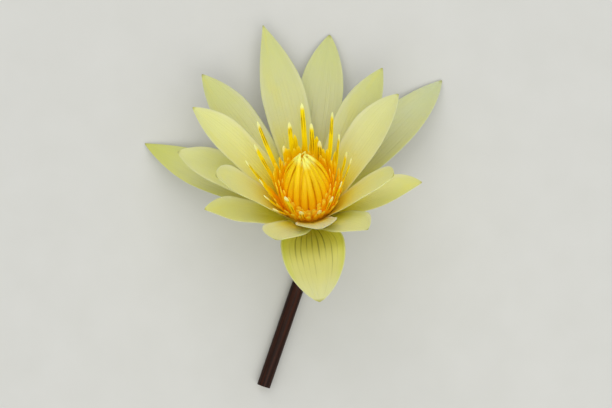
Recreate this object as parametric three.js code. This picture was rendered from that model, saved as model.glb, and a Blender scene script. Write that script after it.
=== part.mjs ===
// Water lily flower, often sold and drawn as a lotus: a cut bloom lying on its side on a flat
// surface with a short length of stem. It rests on the tips of three sepals and on the stem.
// Millimetres, +Z up. The bloom is built first in its own frame, with its axis along +Z and the
// middle of the receptacle at the origin, and is then laid down.

import * as THREE from 'three';

// How the bloom lies.
const AXIS_RISE = 47;          // the bloom's axis above the floor, degrees
const AXIS_SWING = 5;          // turn of the axis about the vertical, degrees

// Receptacle: a short barrel that carries every other piece.
const RECEPTACLE_RADIUS = 11;
const RECEPTACLE_HALF = 8;
const RECEPTACLE_POWER = 3;
const JOINT_GAP = 0.3;         // hairline between neighbouring pieces

// Stem.
const STEM_RADIUS = 3;
const STEM_BEND = 46;          // radius of the bend from the receptacle to the floor
const STEM_RUN = 42;           // straight length lying on the floor
const STEM_SWING = 19;         // heading of the lying length, degrees to the left

// Heights on the receptacle where each whorl is attached.
const SEPAL_HEIGHT = -6;
const OUTER_HEIGHT = -4;
const MIDDLE_HEIGHT = -2.2;
const INNER_HEIGHT = -0.4;
const OUTER_STAMEN_HEIGHT = 2.2;
const INNER_STAMEN_HEIGHT = 5;

// Colours, roughness and metalness of the plain materials.
const LOOKS = {
  sepal: [0xc4c766, 0.55],
  petal: [0xdcd98f, 0.5],
  stamen: [0xe2b008, 0.5],
  pistil: [0xd9a51a, 0.55],
  receptacle: [0x9ca03e, 0.6],
  stem: [0x3a1a0c, 0.45],
};

// Sepals and petals: [name, azimuth, rise at the base, change of rise to the tip, change of azimuth
// to the tip, length, greatest width, place of the greatest width, bluntness of the tip]. Degrees
// and millimetres. Azimuth 0 is to the right and 90 to the back.
const SEPALS = [
  ['sepal_front', 270, 34, -34, 2, 64, 28, 0.42, 2.6],
  ['sepal_right', 37, 19, -6, 8, 79, 22, 0.6, 1.9],
  ['sepal_back', 78.5, 34.5, -8, -3, 76.5, 21, 0.6, 2],
  ['sepal_left', 155.2, 10, -4, -16, 74.3, 22, 0.55, 1.8],
];
const OUTER_PETALS = [
  ['petal_outer_1', 97, 39.5, -8, 8, 79, 21, 0.55, 1.7],
  ['petal_outer_2', 129, 37, -4, 0, 68, 20, 0.62, 1.9],
  ['petal_outer_3', 50.5, 41, -6, 0, 62.2, 20, 0.6, 1.9],
  ['petal_outer_4', 343.5, 32.5, 0, 0, 47, 20, 0.55, 2],
  ['petal_outer_5', 200, 31, 2, 0, 42, 18, 0.6, 2],
];
const MIDDLE_PETALS = [
  ['petal_middle_1', 161.5, 29, -6, 0, 51.6, 20, 0.6, 2.2],
  ['petal_middle_2', 30.5, 48, -6, 0, 54.8, 21, 0.6, 2],
  ['petal_middle_3', 251, 38, -2, 0, 41, 20, 0.6, 2.6],
  ['petal_middle_4', 300, 36, -2, 0, 43, 20, 0.55, 2.1],
];
const INNER_PETALS = [
  ['petal_inner_1', 150.5, 47, -8, 0, 57, 19, 0.6, 2],
  ['petal_inner_2', 195, 50, -2, 0, 42, 21, 0.65, 2.6],
  ['petal_inner_3', 276, 42, -2, 0, 36, 18, 0.6, 2.2],
  ['petal_inner_4', 332, 47, 0, 0, 43.5, 20, 0.65, 2.6],
];

// Outer stamens: [azimuth, rise at the base, length].
const OUTER_STAMENS = [
  [8, 68, 26], [24, 74, 32], [43, 74, 40], [59, 78, 24], [73, 79, 33],
  [87, 76, 42], [109, 77, 34], [125, 76, 23], [139, 63, 37], [156, 62, 30],
  [178, 57, 30], [193, 60, 22], [208, 52, 18], [224, 44, 15], [242, 62, 23],
  [259, 54, 13], [286, 54, 11], [307, 62, 16], [328, 66, 20], [350, 66, 28],
];
const STAMEN_WIDTH = 2.2;
const STAMEN_THICKNESS = 0.6;

// Inner stamens: evenly spaced flat ribs that lean in over the middle as a dome.
const INNER_STAMEN_COUNT = 18;
const INNER_STAMEN_LENGTHS = [27, 24.5];
const INNER_STAMEN_WIDTH = 2.2;

const material = {};
for (const [name, [color, roughness]] of Object.entries(LOOKS)) {
  material[name] = new THREE.MeshStandardMaterial({ name, color, roughness, metalness: 0 });
}

const bloom = new THREE.Group();
const rad = THREE.MathUtils.degToRad;

function addPiece(name, geometry, look) {
  const mesh = new THREE.Mesh(geometry, material[look]);
  mesh.name = name;
  bloom.add(mesh);
  return mesh;
}

// Radius of the receptacle at a height.
function receptacleRadius(z) {
  const t = Math.pow(Math.abs(z) / RECEPTACLE_HALF, RECEPTACLE_POWER);
  return RECEPTACLE_RADIUS * Math.pow(Math.max(0, 1 - t), 1 / RECEPTACLE_POWER);
}

// Middle line of a leaf-like piece: points from the base to the tip, each with its own frame of
// out (along the piece), side (across it) and face (towards the bloom's axis).
function midline({ azimuth, rise, curl, sweep, length, radius, height }, rows) {
  const points = [];
  let spot = new THREE.Vector3(
    radius * Math.cos(rad(azimuth)),
    radius * Math.sin(rad(azimuth)),
    height,
  );
  for (let i = 0; i <= rows; i += 1) {
    const t = i / rows;
    const around = rad(azimuth + sweep * t);
    const up = rad(rise + curl * t);
    const out = new THREE.Vector3(
      Math.cos(up) * Math.cos(around),
      Math.cos(up) * Math.sin(around),
      Math.sin(up),
    );
    const side = new THREE.Vector3(-Math.sin(around), Math.cos(around), 0);
    const face = new THREE.Vector3().crossVectors(out, side);
    points.push({ t, spot: spot.clone(), out, side, face });
    spot = spot.clone().addScaledVector(out, length / rows);
  }
  return points;
}

// Half width of a petal or sepal along its length, as a share of its greatest half width.
function petalOutline(t, base, widest, blunt) {
  if (t <= widest) {
    return base + (1 - base) * Math.sin((t / widest) * (Math.PI / 2));
  }
  const q = (t - widest) / (1 - widest);
  return Math.pow(Math.max(0, 1 - Math.pow(q, blunt)), 1.9 / blunt);
}

// A closed thin leaf: two curved faces that meet along the rim and close across the base.
function leafGeometry(shape) {
  const { rows, columns, width, thickness, cup, base, widest, blunt } = shape;
  const line = midline(shape, rows);
  const upper = [];
  const lower = [];
  for (const { t, spot, side, face } of line) {
    const half = (width / 2) * petalOutline(t, base, widest, blunt);
    const upperRow = [];
    const lowerRow = [];
    for (let j = 0; j <= columns; j += 1) {
      const u = (2 * j) / columns - 1;
      const bow = cup * u;
      const middle = spot.clone();
      middle.addScaledVector(side, (half * Math.sin(bow)) / cup);
      middle.addScaledVector(face, (half * (1 - Math.cos(bow))) / cup);
      const depth = (thickness / 2) * (1 - u * u) * (1 - 0.6 * t);
      upperRow.push(middle.clone().addScaledVector(face, depth));
      lowerRow.push(middle.clone().addScaledVector(face, -depth));
    }
    upper.push(upperRow);
    lower.push(lowerRow);
  }
  const corners = [];
  const quad = (a, b, c, d) => corners.push(a, b, c, a, c, d);
  for (let i = 0; i < rows; i += 1) {
    for (let j = 0; j < columns; j += 1) {
      quad(upper[i][j], upper[i + 1][j], upper[i + 1][j + 1], upper[i][j + 1]);
      quad(lower[i][j], lower[i][j + 1], lower[i + 1][j + 1], lower[i + 1][j]);
    }
  }
  for (let j = 0; j < columns; j += 1) {
    quad(upper[0][j], upper[0][j + 1], lower[0][j + 1], lower[0][j]);
  }
  return solidFrom(corners);
}

// Triangles to a geometry, without the ones that have shrunk to nothing.
function solidFrom(corners) {
  const positions = [];
  for (let k = 0; k < corners.length; k += 3) {
    const [a, b, c] = corners.slice(k, k + 3);
    const area = new THREE.Triangle(a, b, c).getArea();
    if (area > 1e-6) {
      positions.push(...a.toArray(), ...b.toArray(), ...c.toArray());
    }
  }
  const geometry = new THREE.BufferGeometry();
  geometry.setAttribute('position', new THREE.Float32BufferAttribute(positions, 3));
  geometry.computeVertexNormals();
  return geometry;
}

// Sepals: four thick green-backed leaves that closed the bud.
for (const [name, azimuth, rise, curl, sweep, length, width, widest, blunt] of SEPALS) {
  addPiece(name, leafGeometry({
    azimuth, rise, curl, sweep, length, width, widest, blunt,
    radius: receptacleRadius(SEPAL_HEIGHT) + 0.9,
    height: SEPAL_HEIGHT,
    rows: 11, columns: 6, thickness: 1.1, cup: 0.5, base: 0.36,
  }), 'sepal');
}

// Petals: three whorls, thinner than the sepals, each whorl higher on the receptacle and steeper.
const whorls = [
  [OUTER_PETALS, OUTER_HEIGHT],
  [MIDDLE_PETALS, MIDDLE_HEIGHT],
  [INNER_PETALS, INNER_HEIGHT],
];
for (const [petals, height] of whorls) {
  for (const [name, azimuth, rise, curl, sweep, length, width, widest, blunt] of petals) {
    addPiece(name, leafGeometry({
      azimuth, rise, curl, sweep, length, width, widest, blunt, height,
      radius: receptacleRadius(height) + 0.5,
      rows: 11, columns: 6, thickness: 0.8, cup: 0.5, base: 0.3,
    }), 'petal');
  }
}

// Outer stamens: flat straps that spread out past the dome, each bending in a little.
OUTER_STAMENS.forEach(([azimuth, rise, length], index) => {
  addPiece(`stamen_outer_${index + 1}`, leafGeometry({
    azimuth, rise, length,
    curl: 12, sweep: 0, width: STAMEN_WIDTH, thickness: STAMEN_THICKNESS,
    radius: receptacleRadius(OUTER_STAMEN_HEIGHT) + 0.5,
    height: OUTER_STAMEN_HEIGHT,
    rows: 7, columns: 2, cup: 0.3, base: 1, widest: 0.05, blunt: 6,
  }), 'stamen');
});

// Inner stamens: long and short by turns, so that their tips do not meet over the pistil.
for (let k = 0; k < INNER_STAMEN_COUNT; k += 1) {
  addPiece(`stamen_inner_${k + 1}`, leafGeometry({
    azimuth: (360 * k) / INNER_STAMEN_COUNT,
    rise: 84, curl: 60, sweep: 0, width: INNER_STAMEN_WIDTH, thickness: STAMEN_THICKNESS,
    length: INNER_STAMEN_LENGTHS[k % 2],
    radius: receptacleRadius(INNER_STAMEN_HEIGHT) + 0.5,
    height: INNER_STAMEN_HEIGHT,
    rows: 8, columns: 2, cup: 0.3, base: 1, widest: 0.05, blunt: 2.4,
  }), 'stamen');
}

// A solid of revolution about the bloom's axis, from [radius, height] pairs that run upwards.
function turned(profile, segments) {
  const points = profile.map(([r, z]) => new THREE.Vector2(r, z));
  return new THREE.LatheGeometry(points, segments).rotateX(Math.PI / 2);
}

// Receptacle: a barrel, the same above and below its middle.
const barrel = [];
for (let k = 0; k <= 16; k += 1) {
  const z = -RECEPTACLE_HALF * Math.cos((Math.PI * k) / 16);
  barrel.push([k === 0 || k === 16 ? 0 : receptacleRadius(z), z]);
}
addPiece('receptacle', turned(barrel, 24), 'receptacle');

// Pistil: a shallow cup with a knob in the middle, standing on the receptacle inside the dome.
const foot = RECEPTACLE_HALF + JOINT_GAP;
addPiece('pistil', turned([
  [0, foot], [3, foot], [7.6, foot + 1], [8.4, foot + 2.2], [8, foot + 2.8],
  [6, foot + 2], [2.4, foot + 1.6], [1.6, foot + 3], [0, foot + 3.6],
], 24), 'pistil');

// Lay the bloom down on its side.
const lay = new THREE.Matrix4().makeRotationX(-rad(90 - AXIS_RISE));
lay.premultiply(new THREE.Matrix4().makeRotationZ(rad(AXIS_SWING)));
for (const mesh of bloom.children) {
  mesh.geometry.applyMatrix4(lay);
}
const floor = new THREE.Box3().setFromObject(bloom).min.z;

// Stem: leaves the receptacle along the bloom's axis, bends down to the floor while it swings
// aside, then lies straight to its cut end.
const stemPoints = [];
const bendAngle = rad(AXIS_RISE);
const bendDrop = STEM_BEND * (1 - Math.cos(bendAngle));
const start = RECEPTACLE_HALF + JOINT_GAP;
const lead = (-floor - STEM_RADIUS - bendDrop) / Math.sin(bendAngle) - start;
const spot = new THREE.Vector3();
const go = (distance, dip, heading) => {
  spot.x += distance * Math.cos(dip) * Math.sin(heading);
  spot.y -= distance * Math.cos(dip) * Math.cos(heading);
  spot.z -= distance * Math.sin(dip);
  return spot.clone();
};
stemPoints.push(go(start, bendAngle, rad(AXIS_SWING)));
stemPoints.push(go(lead, bendAngle, rad(AXIS_SWING)));
const bendSteps = 10;
for (let k = 0; k < bendSteps; k += 1) {
  const t = (k + 0.5) / bendSteps;
  const heading = rad(AXIS_SWING - (AXIS_SWING + STEM_SWING) * Math.min(1, 1.5 * t));
  stemPoints.push(go((STEM_BEND * bendAngle) / bendSteps, bendAngle * (1 - t), heading));
}
for (let k = 0; k < 3; k += 1) {
  stemPoints.push(go(STEM_RUN / 3, 0, -rad(STEM_SWING)));
}
const round = new THREE.Shape().absarc(0, 0, STEM_RADIUS, 0, 2 * Math.PI);
addPiece('stem', new THREE.ExtrudeGeometry(round, {
  extrudePath: new THREE.CatmullRomCurve3(stemPoints),
  steps: 20,
  curveSegments: 16,
  bevelEnabled: false,
}), 'stem');

// Set the lowest point on the floor and centre the footprint on the origin.
const box = new THREE.Box3().setFromObject(bloom);
const middle = box.getCenter(new THREE.Vector3());
for (const mesh of bloom.children) {
  mesh.geometry.translate(-middle.x, -middle.y, -box.min.z);
}

export default bloom;
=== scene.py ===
import math
import random

import bpy
from mathutils import Matrix, Vector


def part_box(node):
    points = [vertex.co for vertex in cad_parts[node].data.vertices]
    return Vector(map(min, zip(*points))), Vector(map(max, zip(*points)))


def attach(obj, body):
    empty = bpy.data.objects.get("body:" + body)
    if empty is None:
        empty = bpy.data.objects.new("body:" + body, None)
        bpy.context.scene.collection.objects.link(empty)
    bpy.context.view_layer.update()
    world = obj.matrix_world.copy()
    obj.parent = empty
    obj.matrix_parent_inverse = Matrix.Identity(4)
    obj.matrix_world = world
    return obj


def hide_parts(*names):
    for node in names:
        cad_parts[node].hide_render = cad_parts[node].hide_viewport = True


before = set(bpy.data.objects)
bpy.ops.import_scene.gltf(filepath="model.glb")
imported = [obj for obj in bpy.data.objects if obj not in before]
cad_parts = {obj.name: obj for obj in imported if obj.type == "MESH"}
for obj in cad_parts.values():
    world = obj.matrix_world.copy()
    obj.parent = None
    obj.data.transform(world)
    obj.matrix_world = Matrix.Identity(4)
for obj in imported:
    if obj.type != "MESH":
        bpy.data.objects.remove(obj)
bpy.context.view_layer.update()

# ---------------------------------------------------------------------------------------------
# Receptacle
# The short fleshy barrel in the middle of the bloom, green below and golden above. Every other
# piece grows from it: stem below, sepals and petals from its side, stamens from its shoulder.
# ---------------------------------------------------------------------------------------------
RECEPTACLE_RADIUS = 11
RECEPTACLE_HALF = 8
RECEPTACLE_SWELL = 0.5  # how far the flesh closes round the feet of the leaves, millimetres
FOOT_GAP = 0.3  # distance from the receptacle to the foot of a petal or stamen, millimetres
BLOOM_RISE = 47  # rise of the bloom's axis above the table, degrees
BLOOM_SWING = 5  # turn of the axis to the left, degrees
MM = 0.001

# The bloom is made upright in millimetres, its axis along +Z and azimuth 0 to the right, and each
# finished piece is laid down into the frame by this one matrix.
low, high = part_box("receptacle")
heart = (low + high) / 2
bloom = (
    Matrix.Translation(heart)
    @ Matrix.Rotation(math.radians(BLOOM_SWING), 4, "Z")
    @ Matrix.Rotation(math.radians(BLOOM_RISE - 90), 4, "X")
    @ Matrix.Diagonal((MM, MM, MM, 1))
)
axis = (bloom.to_3x3() @ Vector((0, 0, 1))).normalized()


def receptacle_radius(height):
    """Radius of the barrel at a height on the axis, in millimetres."""
    return RECEPTACLE_RADIUS * max(0.0, 1 - (abs(height) / RECEPTACLE_HALF) ** 3) ** (1 / 3)


def tint(code):
    """Linear colour from six hexadecimal digits."""
    parts = [int(code[k : k + 2], 16) / 255 for k in (0, 2, 4)]
    linear = [p / 12.92 if p < 0.04045 else ((p + 0.055) / 1.055) ** 2.4 for p in parts]
    return (*linear, 1.0)


class Shade:
    """A shader socket that Python's operators work on."""

    def __init__(self, tree, socket=None):
        self.tree = tree
        self.socket = socket

    def node(self, kind, settings=(), sockets=(), out=0):
        """Any node: its type, its settings, then its sockets' values or links."""
        made = self.tree.nodes.new(kind)
        for name, value in dict(settings).items():
            setattr(made, name, value)
        for key, value in dict(sockets).items():
            if isinstance(value, Shade):
                self.tree.links.new(value.socket, made.inputs[key])
            else:
                made.inputs[key].default_value = value
        return Shade(self.tree, made.outputs[out])

    def math(self, operation, *values):
        return self.node("ShaderNodeMath", {"operation": operation}, enumerate(values))

    def __add__(self, other):
        return self.math("ADD", self, other)

    __radd__ = __add__

    def __mul__(self, other):
        return self.math("MULTIPLY", self, other)

    __rmul__ = __mul__

    def __sub__(self, other):
        return self.math("SUBTRACT", self, other)

    def __rsub__(self, other):
        return self.math("SUBTRACT", other, self)

    def __abs__(self):
        return self.math("ABSOLUTE", self)

    def step(self, start, end):
        """0 before start and 1 after end, with a smooth climb between."""
        return self.node(
            "ShaderNodeMapRange",
            {"interpolation_type": "SMOOTHSTEP"},
            {"Value": self, "From Min": start, "From Max": end},
        )

    def mix(self, below, above, factor):
        """Two colours mixed by a factor."""
        return self.node(
            "ShaderNodeMix", {"data_type": "RGBA"}, {0: factor, 6: below, 7: above}, out=2
        )

    def noise(self, x, y, z, detail=2.0):
        """Smooth noise from 0 to 1, from three numbers taken as a place."""
        place = self.node("ShaderNodeCombineXYZ", (), {0: x, 1: y, 2: z})
        return self.node(
            "ShaderNodeTexNoise", (), {"Vector": place, "Scale": 1.0, "Detail": detail}
        )

    def uv(self):
        """The piece's own map: across it, and along it."""
        place = self.node("ShaderNodeTexCoord", (), (), out=2)
        return [self.node("ShaderNodeSeparateXYZ", (), {0: place}, out=k) for k in (0, 1)]

    def place(self, operation, other):
        """The place on the object, measured against another vector, in millimetres."""
        spot = self.node("ShaderNodeTexCoord", (), (), out=3)
        measure = self.node("ShaderNodeVectorMath", {"operation": operation}, {0: spot, 1: other}, 1)
        return measure * 1000

    def spot(self, scale):
        """The place on the object along each axis, in millimetres times a scale."""
        return [self.place("DOT_PRODUCT", way) * scale for way in ((1, 0, 0), (0, 1, 0), (0, 0, 1))]


FLESH_REACH = (1.0, 0.85, 0.3)  # how far red, green and blue light pass into the flesh
FLESH_SCALE = 0.003  # the length, in metres, that those shares are of


def new_skin(name, roughness=0.5, specular=0.4, subsurface=0.0):
    """A Principled material, with its tree as a Shade and a function that links its sockets."""
    material = bpy.data.materials.new(name)
    material.use_nodes = True
    tree = material.node_tree
    shader = tree.nodes["Principled BSDF"]
    shader.inputs["Roughness"].default_value = roughness
    shader.inputs["Specular IOR Level"].default_value = specular
    shader.inputs["Subsurface Weight"].default_value = subsurface
    shader.inputs["Subsurface Radius"].default_value = FLESH_REACH
    shader.inputs["Subsurface Scale"].default_value = FLESH_SCALE
    s = Shade(tree)

    def finish(colour, height, depth):
        """Colour, and a height that shades as if it stood out by a depth in metres."""
        tree.links.new(colour.socket, shader.inputs["Base Color"])
        bump = s.node("ShaderNodeBump", (), {"Strength": 0.5, "Distance": depth, "Height": height})
        tree.links.new(bump.socket, shader.inputs["Normal"])

    return material, s, finish


bpy.ops.object.select_all(action="DESELECT")
bpy.ops.mesh.primitive_uv_sphere_add(segments=36, ring_count=28, radius=1)
barrel = bpy.context.object
barrel.name = "receptacle_flesh"
barrel.data.name = "receptacle_flesh"
for vertex in barrel.data.vertices:
    x, y, z = vertex.co
    height = z * RECEPTACLE_HALF
    around = math.atan2(y, x)
    ring = math.hypot(x, y)
    if ring > 1e-4:
        swell = RECEPTACLE_SWELL * (1 + 0.5 * math.cos(12 * around))
        reach = receptacle_radius(height) + swell * ring
        vertex.co = (x / ring * reach, y / ring * reach, height)
    else:
        vertex.co.z = height
smooth = barrel.modifiers.new("smooth", "SUBSURF")
smooth.levels = 1
smooth.render_levels = 1
bpy.ops.object.modifier_apply(modifier="smooth")
barrel.data.transform(bloom)
bpy.ops.object.shade_smooth()

flesh, s, finish = new_skin("receptacle flesh", roughness=0.5, subsurface=0.2)
up = s.place("DOT_PRODUCT", axis) - axis.dot(heart) * 1000
grain = s.noise(
    s.place("DOT_PRODUCT", (1, 0, 0)) * 0.5, s.place("DOT_PRODUCT", (0, 1, 0)) * 0.5, up * 0.5
)
colour = s.mix(tint("8f9a3a"), tint("dccb3c"), up.step(-7, -4))
colour = s.mix(colour, tint("f0a808"), up.step(-1, 1.5))
colour = s.mix(colour, tint("b89a1e"), grain.step(0.5, 0.75) * 0.25)
finish(colour, grain, 0.0006)
barrel.data.materials.append(flesh)
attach(barrel, "root")
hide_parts("receptacle")

# ---------------------------------------------------------------------------------------------
# Stem
# A smooth red-brown stalk, full of air canals. It leaves the receptacle along the bloom's axis,
# bends down to the table and lies straight to the end where it was cut across.
# ---------------------------------------------------------------------------------------------
STEM_RADIUS = 3
STEM_BEND = 46  # radius of the bend
STEM_RUN = 42  # straight length on the table
STEM_LEAVE = BLOOM_SWING  # heading at the receptacle, degrees to the right
STEM_SWING = 19  # heading of the lying length, degrees to the left
STEM_ROOT = 6  # where it starts inside the receptacle, below the bloom's middle
STEM_HASTE = 1.5  # how much faster it swings sideways than it bends down
RING_STEP = 2  # length between two rings of the skin

bend_angle = math.radians(BLOOM_RISE)
bend_length = STEM_BEND * bend_angle
drop = heart.z * 1000 - STEM_RADIUS - STEM_BEND * (1 - math.cos(bend_angle))
lead = drop / math.sin(bend_angle)
stem_length = lead + bend_length + STEM_RUN


def stem_heading(s):
    """Direction of the stem at a length along it from the middle of the bloom."""
    t = min(1.0, max(0.0, (s - lead) / bend_length))
    dip = bend_angle * (1 - t)
    turn = math.radians(STEM_LEAVE - (STEM_LEAVE + STEM_SWING) * min(1.0, STEM_HASTE * t))
    return Vector((math.cos(dip) * math.sin(turn), -math.cos(dip) * math.cos(turn), -math.sin(dip)))


def joined(parts):
    """Several objects joined into the first of them."""
    bpy.ops.object.select_all(action="DESELECT")
    for part in parts:
        part.select_set(True)
    bpy.context.view_layer.objects.active = parts[0]
    bpy.ops.object.join()
    return parts[0]


bpy.ops.mesh.primitive_cylinder_add(
    vertices=28, radius=STEM_RADIUS, depth=stem_length - STEM_ROOT,
    location=(0, 0, (stem_length + STEM_ROOT) / 2), end_fill_type="NGON", calc_uvs=True,
)
stalk = bpy.context.object
stalk.name = "stem_stalk"
stalk.data.name = "stem_stalk"
bpy.ops.object.transform_apply(location=True)

# The canals: four wide ones round the middle and a ring of narrow ones, sunk into the cut end.
CANAL_DEPTH = 5
CANALS = [(4, 1.15, 0.62, 0.4), (12, 2.3, 0.27, 0.1)]  # count, ring, radius, first angle
canals = []
for count, ring, radius, phase in CANALS:
    for k in range(count):
        around = phase + 2 * math.pi * k / count
        bpy.ops.mesh.primitive_cylinder_add(
            vertices=14, radius=radius, depth=2 * CANAL_DEPTH,
            location=(ring * math.cos(around), ring * math.sin(around), stem_length),
        )
        canals.append(bpy.context.object)
cutter = joined(canals)
bpy.ops.object.select_all(action="DESELECT")
stalk.select_set(True)
bpy.context.view_layer.objects.active = stalk
bore = stalk.modifiers.new("bore", "BOOLEAN")
bore.operation = "DIFFERENCE"
bore.object = cutter
bpy.ops.object.modifier_apply(modifier="bore")
bpy.data.objects.remove(cutter)

# Rings are cut across the straight stalk, and the stalk is then laid along its route.
bpy.ops.object.mode_set(mode="EDIT")
at = STEM_ROOT + RING_STEP
while at < stem_length - CANAL_DEPTH - 1:
    bpy.ops.mesh.select_all(action="SELECT")
    bpy.ops.mesh.bisect(plane_co=(0, 0, at), plane_no=(0, 0, 1))
    at += RING_STEP
bpy.ops.object.mode_set(mode="OBJECT")
FINE = 0.25  # step used to follow the route
route = [Vector((0, 0, 0))]
while len(route) * FINE < stem_length + 1:
    route.append(route[-1] + stem_heading((len(route) - 0.5) * FINE) * FINE)
for vertex in stalk.data.vertices:
    s_here = vertex.co.z
    along = stem_heading(s_here)
    side = along.cross(Vector((0, 0, 1))).normalized()
    rise = side.cross(along)
    k = int(s_here / FINE)
    spot = route[k] + along * (s_here - k * FINE)
    vertex.co = heart + (spot + side * vertex.co.x + rise * vertex.co.y) / 1000

peel, s, finish = new_skin("stem skin", roughness=0.45, specular=0.15)
around, along = s.uv()
turn = around * 2 * math.pi
streak = s.noise(s.math("COSINE", turn) * 4, s.math("SINE", turn) * 4, along * 5, detail=3.0)
speck = s.noise(s.math("COSINE", turn) * 9, s.math("SINE", turn) * 9, along * 120, detail=1.0)
colour = s.mix(tint("1d0b03"), tint("381706"), streak.step(0.35, 0.7))
colour = s.mix(colour, tint("4c2a12"), speck.step(0.62, 0.72) * 0.35)
finish(colour, streak * 0.7 + speck * 0.3, 0.0004)
cut_face, s, finish = new_skin("stem cut end", roughness=0.45, subsurface=0.2)
fibre = s.noise(*s.spot(1.2))
finish(s.mix(tint("b9a86a"), tint("8a6a3a"), fibre.step(0.4, 0.7)), fibre, 0.0003)
stalk.data.materials.append(peel)
stalk.data.materials.append(cut_face)
end_way = stem_heading(stem_length)
end_spot = heart + route[int(stem_length / FINE)] / 1000
for face in stalk.data.polygons:
    away = (face.center - end_spot) / MM
    ahead = away.dot(end_way)
    edge = (away - end_way * ahead).length
    bored = ahead > -CANAL_DEPTH - 0.5 and edge < STEM_RADIUS * 0.95
    face.material_index = 1 if bored else 0
bpy.ops.object.shade_smooth_by_angle(angle=math.radians(40))
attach(stalk, "root")
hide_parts("stem")

# ---------------------------------------------------------------------------------------------
# Sepals
# Four thick leaves that closed the bud, pale yellow inside with dark parallel veins and green
# outside. Each grows from the underside of the receptacle, and three of them reach the table.
# ---------------------------------------------------------------------------------------------
# Node, azimuth, rise at the base, change of rise, change of azimuth, length, greatest width, place
# of the greatest width, bluntness of the tip. Degrees and millimetres.
SEPALS = [
    ("sepal_front", 270, 34, -34, 2, 64, 28, 0.42, 2.6),
    ("sepal_right", 37, 19, -6, 8, 79, 22, 0.6, 1.9),
    ("sepal_back", 78.5, 34.5, -8, -3, 76.5, 21, 0.6, 2.0),
    ("sepal_left", 155.2, 10, -4, -16, 74.3, 22, 0.55, 1.8),
]
SEPAL_HEIGHT = -6
SEPAL_GAP = 0.6  # distance from the receptacle to the foot of a sepal
# Colours inside: foot, middle, tip, rim, vein; then the share of the length where the foot's
# colour ends, the number of veins and their strength.
SEPAL_LOOKS = {
    "sepal_front": ("f2ea70", "d2cd80", "d6d49c", "c2c838", "6c6818", 0.75, 11, 0.7),
    "sepal_right": ("d8d070", "c8c898", "c4ca9c", "d0d292", "8f9052", 0.5, 11, 0.1),
    "sepal_back": ("d4cc70", "cccb9a", "c8cc88", "d4d498", "93944e", 0.5, 11, 0.1),
    "sepal_left": ("d8d25c", "d4d49c", "c6ca6c", "d6d684", "8f9040", 0.5, 11, 0.12),
}


def leaf_skin(name, foot, middle, tip, rim, vein, turn, veins, strength, seed):
    """Skin of a sepal or petal: its veins run from foot to tip, and its rim is lighter."""
    material, s, finish = new_skin(name, roughness=0.5, specular=0.3, subsurface=0.5)
    across, along = s.uv()
    off = abs(across - 0.5) * 2
    colour = s.mix(tint(foot), tint(middle), along.step(0.1, turn))
    colour = s.mix(colour, tint(tip), along.step(turn - 0.05, 0.98))
    patch = s.noise(across * 2.2 + seed, along * 3, seed)
    colour = s.mix(colour, tint(foot), patch.step(0.5, 0.8) * 0.22)
    # Fine grain, and veins that the narrowing leaf gathers at both ends, each wavering a little.
    waver = s.noise(across * 3, along * 3, seed + 7.3, detail=1.0) - 0.5
    lane = s.math("FRACT", (across + waver * 0.04) * veins)
    line = 1 - abs(lane - 0.5).step(0.02, 0.16)
    broken = s.noise(across * veins * 1.3, along * 2.2, seed + 3.1)
    line = line * broken.step(0.3, 0.65) * (1 - along.step(0.45, 0.9))
    line = line * (1 - off.step(0.45, 0.85) * 0.75)
    fine = s.noise(across * 55, along * 1.5, seed + 11.0)
    colour = s.mix(colour, tint(vein), line * strength)
    colour = s.mix(colour, tint(vein), fine.step(0.5, 0.8) * (0.07 + 0.16 * strength))
    colour = s.mix(colour, tint(rim), off.step(0.72, 0.96) * (1 - along.step(0.7, 0.95)) * 0.5)
    colour = s.mix(colour, tint(tip), off.step(0.93, 1.0) * 0.6)
    colour = s.mix(colour, tint("8a8a34"), along.step(0.965, 1.0) * 0.7)
    finish(colour, fine * 0.8 - line * 0.7, 0.0004)
    return material


SPINE_TURN = 10 / 11  # share of a leaf's changes of direction that its middle line makes
TIP_FULLNESS = 1.9
CREASE_WIDTH = 0.16  # of the crease down the middle, as a share of half the leaf
RIDGE_START, RIDGE_END = 0.42, 0.86  # of the two ridges on a stamen, as shares of its length
EDGE_THINNING, TIP_THINNING = 0.72, 0.5  # shares of the wall lost at the edge and at the tip


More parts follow.
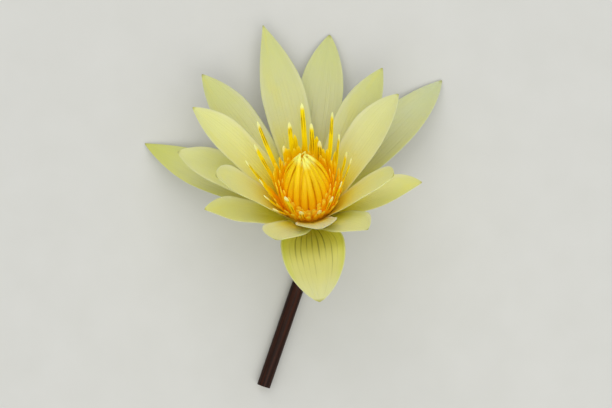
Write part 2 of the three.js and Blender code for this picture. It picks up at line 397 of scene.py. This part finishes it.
def leaf(name, azimuth, rise, curl, sweep, length, width, widest, blunt, **more):
    """A leaf-like piece: a flat grid laid along its curve, then given a wall."""
    radius, height, cup = more["radius"], more["height"], more["cup"]
    across, along = more["grid"]
    ripple, crease, ridge = more["ripple"], more["crease"], more.get("ridge", 0)
    dice = random.Random(more["seed"])
    lean, phase, waves = dice.uniform(-1, 1), dice.uniform(0, 6.3), dice.uniform(1.2, 2.2)
    bpy.ops.object.select_all(action="DESELECT")
    bpy.ops.mesh.primitive_grid_add(
        x_subdivisions=across, y_subdivisions=along, size=2, calc_uvs=True
    )
    piece = bpy.context.object
    piece.name = name
    piece.data.name = name
    # The middle line, from the receptacle to the tip, in short straight runs.
    spots = []
    foot = math.radians(azimuth)
    spot = Vector((radius * math.cos(foot), radius * math.sin(foot), height))
    for k in range(along + 1):
        spots.append(spot.copy())
        t = (k + 0.5) / along * SPINE_TURN
        around, up = math.radians(azimuth + sweep * t), math.radians(rise + curl * t)
        out = Vector((math.cos(up) * math.cos(around), math.cos(up) * math.sin(around), math.sin(up)))
        spot += out * length / along
    weights = piece.vertex_groups.new(name="wall")
    for vertex in piece.data.vertices:
        u, t = vertex.co.x, (vertex.co.y + 1) / 2
        around, up = math.radians(azimuth + sweep * t), math.radians(rise + curl * t)
        side = Vector((-math.sin(around), math.cos(around), 0))
        face = Vector((-math.sin(up) * math.cos(around), -math.sin(up) * math.sin(around), math.cos(up)))
        if t <= widest:
            share = more["base"] + (1 - more["base"]) * math.sin(t / widest * math.pi / 2)
        else:
            share = max(0.0, 1 - ((t - widest) / (1 - widest)) ** blunt) ** (TIP_FULLNESS / blunt)
        half = width / 2 * share
        shift = half * math.sin(cup * u) / cup
        lift = half * (1 - math.cos(cup * u)) / cup
        lift -= crease * math.exp(-((u / CREASE_WIDTH) ** 2)) * share * (1 - t)
        lift += ripple * abs(u) ** 3 * share * t * math.sin(
            2 * math.pi * waves * t + phase + (2.1 if u > 0 else 0)
        )
        if ridge and RIDGE_START < t < RIDGE_END:
            lift += ridge * math.exp(-(((abs(u) - 0.5) / 0.2) ** 2))
        shift += ripple * 2 * lean * t * (1 - t)
        vertex.co = spots[round(t * along)] + side * shift + face * lift
        wall_share = (1 - EDGE_THINNING * u * u) * (1 - TIP_THINNING * t)
        weights.add([vertex.index], wall_share, "REPLACE")
    bpy.ops.object.mode_set(mode="EDIT")
    bpy.ops.mesh.select_all(action="SELECT")
    bpy.ops.mesh.remove_doubles(threshold=1e-4)
    bpy.ops.object.mode_set(mode="OBJECT")
    wall = piece.modifiers.new("wall", "SOLIDIFY")
    wall.thickness = more["thickness"]
    wall.offset = 0
    wall.vertex_group = "wall"
    wall.material_offset = 1 if more["two_sided"] else 0
    smooth = piece.modifiers.new("smooth", "SUBSURF")
    smooth.levels = 1
    smooth.render_levels = 1
    bpy.ops.object.modifier_apply(modifier="wall")
    bpy.ops.object.modifier_apply(modifier="smooth")
    piece.vertex_groups.clear()
    piece.data.transform(bloom)
    bpy.ops.object.shade_smooth()
    return piece


sepal_back_skin = leaf_skin(
    "sepal back", "77843a", "8f9a4a", "a7ad4c", "b5ba58", "55531e", 0.6, 13, 0.5, 4.4
)
for seed, (node, *shape) in enumerate(SEPALS):
    piece = leaf(
        node + "_leaf",
        *shape,
        radius=receptacle_radius(SEPAL_HEIGHT) + SEPAL_GAP,
        height=SEPAL_HEIGHT,
        cup=0.5,
        base=0.42,
        crease=0.4,
        ripple=0.5,
        thickness=1.0,
        grid=(12, 40),
        seed=seed,
        two_sided=True,
    )
    piece.data.materials.append(leaf_skin(node + " skin", *SEPAL_LOOKS[node], seed * 3.7))
    piece.data.materials.append(sepal_back_skin)
    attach(piece, "root")
    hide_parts(node)

# ---------------------------------------------------------------------------------------------
# Petals
# Thirteen thin leaves in three whorls, pale lemon with a deeper yellow foot, faint veins and a
# light rim. They grow from the side of the receptacle, each whorl higher and steeper.
# ---------------------------------------------------------------------------------------------
# For each whorl: its height on the receptacle, the width of a foot as a share of the petal's, the
# colours of its skin as for the sepals, and its petals. Petals of a whorl that are lighter than
# the rest, or have a wider foot, stand in a row of their own. The lighter skin of the second row is
# painted light: it brightens two outer petals that the petals above them shade.
WHORLS = [
    (-4, 0.45, ("e6d840", "d6d496", "c4c884", "dcdaa2", "9c9a50", 0.5, 13, 0.05), [
        ("petal_outer_1", 97, 39.5, -8, 8, 79, 21, 0.55, 1.7),
        ("petal_outer_2", 129, 37, -4, 0, 68, 20, 0.62, 1.9),
        ("petal_outer_3", 50.5, 41, -6, 0, 62.2, 20, 0.6, 1.9),
    ]),
    # Painted light: a lighter copy of the outer whorl's skin, for two petals that lie in shade.
    (-4, 0.6, ("ecde4c", "eeeaa4", "e2e090", "eeeab0", "a09c50", 0.5, 13, 0.05), [
        ("petal_outer_4", 343.5, 32.5, 0, 0, 47, 20, 0.55, 2.0),
        ("petal_outer_5", 200, 31, 2, 0, 42, 18, 0.6, 2.0),
    ]),
    (-2.2, 0.65, ("ecde48", "e2e09a", "d8d898", "e6e3ac", "9e9a48", 0.5, 13, 0.05), [
        ("petal_middle_1", 161.5, 29, -6, 0, 51.6, 20, 0.6, 2.2),
        ("petal_middle_2", 30.5, 48, -6, 0, 54.8, 21, 0.6, 2.0),
        ("petal_middle_3", 251, 38, -2, 0, 41, 20, 0.6, 2.6),
        ("petal_middle_4", 300, 36, -2, 0, 43, 20, 0.55, 2.1),
    ]),
    (-0.4, 0.65, ("eee03a", "e4e08e", "dadb98", "e8e5a8", "a09a40", 0.5, 13, 0.05), [
        ("petal_inner_1", 150.5, 47, -8, 0, 57, 19, 0.6, 2.0),
        ("petal_inner_2", 195, 50, -2, 0, 42, 21, 0.65, 2.6),
        ("petal_inner_4", 332, 47, 0, 0, 43.5, 20, 0.65, 2.6),
    ]),
    (-0.4, 0.75, ("e6d040", "dcd898", "d6d6b0", "dadabc", "a09a50", 0.5, 13, 0.08), [
        ("petal_inner_3", 276, 42, -2, 0, 36, 18, 0.6, 2.2),
    ]),
]
petal_back_skin = leaf_skin(
    "petal back", "b4b84e", "c8ca76", "bfc668", "d4d58c", "909048", 0.5, 13, 0.3, 8.8
)
seed = 20
for height, base, look, petals in WHORLS:
    skin = leaf_skin(f"petal skin {seed}", *look, seed * 1.3)
    for node, *shape in petals:
        seed += 1
        piece = leaf(
            node + "_leaf",
            *shape,
            radius=receptacle_radius(height) + FOOT_GAP,
            height=height,
            cup=0.5,
            base=base,
            crease=0.35,
            ripple=0.45,
            thickness=0.7,
            grid=(12, 36),
            seed=seed,
            two_sided=True,
        )
        piece.data.materials.append(skin)
        piece.data.materials.append(petal_back_skin)
        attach(piece, "root")
        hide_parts(node)

# ---------------------------------------------------------------------------------------------
# Outer stamens
# Flat golden straps that spread out past the dome. Most carry two brown pollen lines on the
# inner face, and all end in a pale blunt tip. They grow from the shoulder of the receptacle.
# ---------------------------------------------------------------------------------------------
# Azimuth, rise at the base and length of each.
OUTER_STAMENS = [
    (8, 68, 26), (24, 74, 32), (43, 74, 40), (59, 78, 24), (73, 79, 33),
    (87, 76, 42), (109, 77, 34), (125, 76, 23), (139, 63, 37), (156, 62, 30),
    (178, 57, 30), (193, 60, 22), (208, 52, 18), (224, 44, 15), (242, 62, 23),
    (259, 54, 13), (286, 54, 11), (307, 62, 16), (328, 66, 20), (350, 66, 28),
]
OUTER_STAMEN_HEIGHT = 2.2
OUTER_STAMEN_SHAPE = (12, 0, 2.3, 6)  # change of rise, change of azimuth, width, bluntness
PAINTED_GLOW = 0.1  # painted glow: the strap gives off light of its own colour, standing in for light let through from the crowd round it
STRAP_MAP = 50  # millimetres of a strap in one unit of its map, counted back from the tip


def strap_skin(name, foot, body, line, tip, strength, reach, seed):
    """Skin of a stamen: deep gold at the foot, then pollen lines, then a pale tip.

    The strength is that of the lines, and the reach is the length of the tip in millimetres.
    """
    material, s, finish = new_skin(name, roughness=0.5, specular=0.25, subsurface=0.6)
    across, along = s.uv()
    back = (1 - along) * STRAP_MAP
    colour = s.mix(tint(foot), tint(body), s.place("DISTANCE", heart).step(12, 26))
    grain = s.noise(across * 7, back * 0.25, seed, detail=3.0)
    colour = s.mix(colour, tint(foot), grain.step(0.5, 0.8) * 0.45)
    pair = abs(abs(across - 0.5) - 0.25)
    pollen = (1 - pair.step(0.04, 0.14)) * back.step(3, 4.5) * (1 - back.step(12, 18))
    # Some stamens have shed more than others, and the lines are broken here and there.
    shed = s.noise(*s.spot(0.13), detail=0.0).step(0.42, 0.58)
    speckle = s.noise(across * 6, back * 0.45, seed + 5, detail=1.0)
    pollen = pollen * shed * (speckle.step(0.3, 0.5) * 0.5 + 0.5)
    colour = s.mix(colour, tint(line), pollen * strength)
    colour = s.mix(colour, tint(tip), 1 - back.step(0.5 * reach, reach))
    finish(colour, grain * 0.6 + pollen * 0.6, 0.0004)
    # Painted glow: the strap's colour is also given off as light, so the strap shines with no lamp on
    # it.
    shader = material.node_tree.nodes["Principled BSDF"]
    shader.inputs["Emission Strength"].default_value = PAINTED_GLOW
    s.tree.links.new(colour.socket, shader.inputs["Emission Color"])
    return material


def strap(name, length, *shape, **more):
    """A stamen: a narrow leaf whose map counts real length back from the tip."""
    azimuth, rise, curl, sweep, width, blunt = shape
    piece = leaf(name, azimuth, rise, curl, sweep, length, width, 0.05, blunt, base=1, **more)
    for corner in piece.data.uv_layers.active.data:
        corner.uv.y = 1 - (1 - corner.uv.y) * length / STRAP_MAP
    return piece


outer_stamen_skin = strap_skin("outer stamen", "f8b400", "eccc00", "805a00", "eeec9c", 0.8, 4.6, 2.0)
for k, (azimuth, rise, length) in enumerate(OUTER_STAMENS):
    node = f"stamen_outer_{k + 1}"
    piece = strap(
        node + "_strap", length, azimuth, rise, *OUTER_STAMEN_SHAPE,
        radius=receptacle_radius(OUTER_STAMEN_HEIGHT) + FOOT_GAP,
        height=OUTER_STAMEN_HEIGHT,
        cup=0.3,
        crease=0.15,
        ripple=0.3,
        ridge=0.22,
        thickness=0.9,
        grid=(8, 16),
        seed=40 + k,
        two_sided=False,
    )
    piece.data.materials.append(outer_stamen_skin)
    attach(piece, "root")
    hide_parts(node)

# ---------------------------------------------------------------------------------------------
# Inner stamens
# Flat golden ribs that lean in over the pistil as a dome, long and short by turns, with pale
# yellow tips that crowd together at the top. They grow from the top edge of the receptacle.
# ---------------------------------------------------------------------------------------------
INNER_STAMEN_COUNT = 18
INNER_STAMEN_HEIGHT = 5
INNER_STAMEN_LENGTHS = (27, 24.5)
INNER_STAMEN_RISE = 84
INNER_STAMEN_CURL = 62  # change of rise
inner_stamen_skin = strap_skin("inner stamen", "f8b600", "f0c600", "d08a00", "f2ec70", 0.25, 6.5, 6.0)
dice = random.Random(7)
for k in range(INNER_STAMEN_COUNT):
    node = f"stamen_inner_{k + 1}"
    piece = strap(
        node + "_strap", INNER_STAMEN_LENGTHS[k % 2] + dice.uniform(-0.4, 2.8),
        360 * k / INNER_STAMEN_COUNT, INNER_STAMEN_RISE,
        INNER_STAMEN_CURL + dice.uniform(-5, 7), dice.uniform(-14, 14),
        dice.uniform(2.9, 3.5), 3.5,
        radius=receptacle_radius(INNER_STAMEN_HEIGHT) + FOOT_GAP,
        height=INNER_STAMEN_HEIGHT,
        cup=0.9,
        crease=0.0,
        ripple=0.3,
        thickness=0.9,
        grid=(6, 16),
        seed=80 + k,
        two_sided=False,
    )
    piece.data.materials.append(inner_stamen_skin)
    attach(piece, "root")
    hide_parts(node)

# ---------------------------------------------------------------------------------------------
# Rings of crowded stamens
# More stamens of the same make fill the room between the dome and the spreading ones, and back
# the gaps in the dome. Each ring is one piece, because its stamens stand wall to wall.
# ---------------------------------------------------------------------------------------------
crowd_skin = strap_skin("crowded stamen", "fab600", "f2c800", "b07a00", "f4d030", 0.3, 3, 12.0)
# Name, how many, height on the receptacle, distance from its skin, rise, change of rise, length
# at the front and at the back of the bloom, width, seed.
RINGS = [
    ("stamens_backing_ring", 20, 5.6, -0.8, 84, 62, (24, 24), 3.2, 3),
    ("stamens_close_ring", 30, 4.2, 0.3, 84, 12, (2.5, 20), 2.5, 5),
    ("stamens_middle_ring", 30, 3.2, 0.3, 74, 12, (3.5, 24), 2.5, 9),
    ("stamens_low_ring", 26, 1.4, 0.3, 58, 12, (6, 15), 2.4, 12),
]
for name, count, height, gap, rise, curl, (front, back), width, seed in RINGS:
    dice = random.Random(seed)
    members = []
    for k in range(count):
        azimuth = 360 * (k + 0.5 + dice.uniform(-0.2, 0.2)) / count
        behind = (1 + math.sin(math.radians(azimuth))) / 2
        members.append(strap(
            f"{name}_{k}",
            (front + (back - front) * behind ** 0.6) * dice.uniform(0.8, 1.1),
            azimuth, rise + dice.uniform(-4, 4), curl, dice.uniform(-6, 6), width, 5,
            radius=receptacle_radius(height) + gap,
            height=height,
            cup=0.5,
            crease=0.1,
            ripple=0.3,
            thickness=0.8,
            grid=(4, 10),
            seed=seed * 100 + k,
            two_sided=False,
        ))
    ring = joined(members)
    ring.name = name
    ring.data.name = name
    ring.data.materials.append(crowd_skin)
    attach(ring, "root")

# ---------------------------------------------------------------------------------------------
# Pistil
# A shallow ribbed cup with a knob in its middle and a rim of short fleshy fingers, hidden under
# the dome. It is the top of the receptacle, yellow and a little waxy.
# ---------------------------------------------------------------------------------------------
PISTIL_FOOT = RECEPTACLE_HALF + 0.3
PISTIL_RIBS = 18
# Distance from the axis and height above the foot of each ring of the cup, from the bottom up.
CUP = [(7.6, 1), (8.4, 2.2), (8, 2.8), (6, 2), (2.4, 1.6), (1.9, 2.4), (1.4, 3.2), (0.5, 3.6)]
bpy.ops.object.select_all(action="DESELECT")
bpy.ops.mesh.primitive_circle_add(
    vertices=2 * PISTIL_RIBS, radius=3, fill_type="NGON", location=(0, 0, PISTIL_FOOT)
)
cup = bpy.context.object
bpy.ops.object.transform_apply(location=True)
bpy.ops.object.mode_set(mode="EDIT")
bpy.ops.mesh.select_all(action="SELECT")
reach, height = 3, 0
for next_reach, next_height in CUP:
    bpy.ops.mesh.extrude_region_move(
        TRANSFORM_OT_translate={"value": (0, 0, next_height - height)}
    )
    share = next_reach / reach
    bpy.ops.transform.resize(
        value=(share, share, 1), center_override=(0, 0, PISTIL_FOOT + next_height)
    )
    reach, height = next_reach, next_height
bpy.ops.mesh.select_all(action="SELECT")
bpy.ops.mesh.normals_make_consistent(inside=False)
bpy.ops.object.mode_set(mode="OBJECT")
for vertex in cup.data.vertices:
    if math.hypot(vertex.co.x, vertex.co.y) > 2:
        vertex.co.z += 0.3 * math.cos(PISTIL_RIBS * math.atan2(vertex.co.y, vertex.co.x))
smooth = cup.modifiers.new("smooth", "SUBSURF")
smooth.levels = 1
smooth.render_levels = 1
bpy.ops.object.modifier_apply(modifier="smooth")
cup.data.transform(bloom)
bpy.ops.object.shade_smooth()
fingers = [
    strap(
        f"finger_{k}", 4.5, 360 * k / PISTIL_RIBS, 84, 50, 0, 1.9, 3,
        radius=7.6,
        height=PISTIL_FOOT + 1.8,
        cup=0.6,
        crease=0,
        ripple=0,
        thickness=1.0,
        grid=(4, 8),
        seed=k,
        two_sided=False,
    )
    for k in range(PISTIL_RIBS)
]
cup = joined([cup, *fingers])
cup.name = "pistil_cup"
cup.data.name = "pistil_cup"
wax, s, finish = new_skin("pistil wax", roughness=0.4, subsurface=0.3)
grain = s.noise(*s.spot(0.8))
finish(s.mix(tint("d9b428"), tint("b98a14"), grain.step(0.4, 0.7)), grain, 0.0003)
cup.data.materials.append(wax)
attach(cup, "root")
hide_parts("pistil")

# ---------------------------------------------------------------------------------------------
# Floor, light and camera
# A pale table, a wide soft light that faces the bloom, a fill from above the stem and an even
# sky. The camera looks down on the bloom from a little to the stem's side.
# ---------------------------------------------------------------------------------------------
bpy.ops.object.select_all(action="DESELECT")
bpy.ops.mesh.primitive_plane_add(size=6, location=(0, 0, -0.0002))
table = bpy.context.object
table.name = "table_top"
table_finish, s, finish = new_skin("pale table", roughness=0.8, specular=0.2)
grain = s.noise(*s.spot(0.05))
finish(s.mix(tint("c9c8c2"), tint("cfcec9"), grain), grain, 0.0001)
table.data.materials.append(table_finish)

for name, place, size, power, colour in [
    ("key light", heart + axis * 1.6, 1.8, 11.5, (1.0, 0.985, 0.95)),
    ("fill light", Vector((0.2, -0.8, 1.4)), 1.4, 13, (1.0, 1.0, 0.98)),
]:
    bpy.ops.object.light_add(type="AREA", location=place)
    lamp = bpy.context.object
    lamp.name = name
    lamp.data.size = size
    lamp.data.energy = power
    lamp.data.color = colour
    lamp.rotation_euler = (heart - place).to_track_quat("-Z", "Y").to_euler()

sky = bpy.data.worlds.new("soft sky")
bpy.context.scene.world = sky
sky.use_nodes = True
sky.node_tree.nodes["Background"].inputs["Color"].default_value = (0.94, 0.97, 1.0, 1.0)
sky.node_tree.nodes["Background"].inputs["Strength"].default_value = 0.58
bpy.context.scene.view_settings.view_transform = "Standard"

VIEW_RISE = math.radians(88)
VIEW_DISTANCE = 0.7
VIEW_SHIFT = 0.0009  # metres that the camera aims to the left of the bloom's middle
VIEW_LENS = 95.1
toward = Vector((0, -math.cos(VIEW_RISE), math.sin(VIEW_RISE)))
up = Vector((0, math.sin(VIEW_RISE), math.cos(VIEW_RISE)))
right = Vector((1, 0, 0))
aim = heart - right * VIEW_SHIFT
camera_data = bpy.data.cameras.new("camera")
camera_data.lens = VIEW_LENS
camera_data.sensor_width = 36
camera = bpy.data.objects.new("camera", camera_data)
bpy.context.scene.collection.objects.link(camera)
facing = Matrix((right, up, toward)).transposed().to_4x4()
camera.matrix_world = Matrix.Translation(aim + toward * VIEW_DISTANCE) @ facing
bpy.context.scene.camera = camera
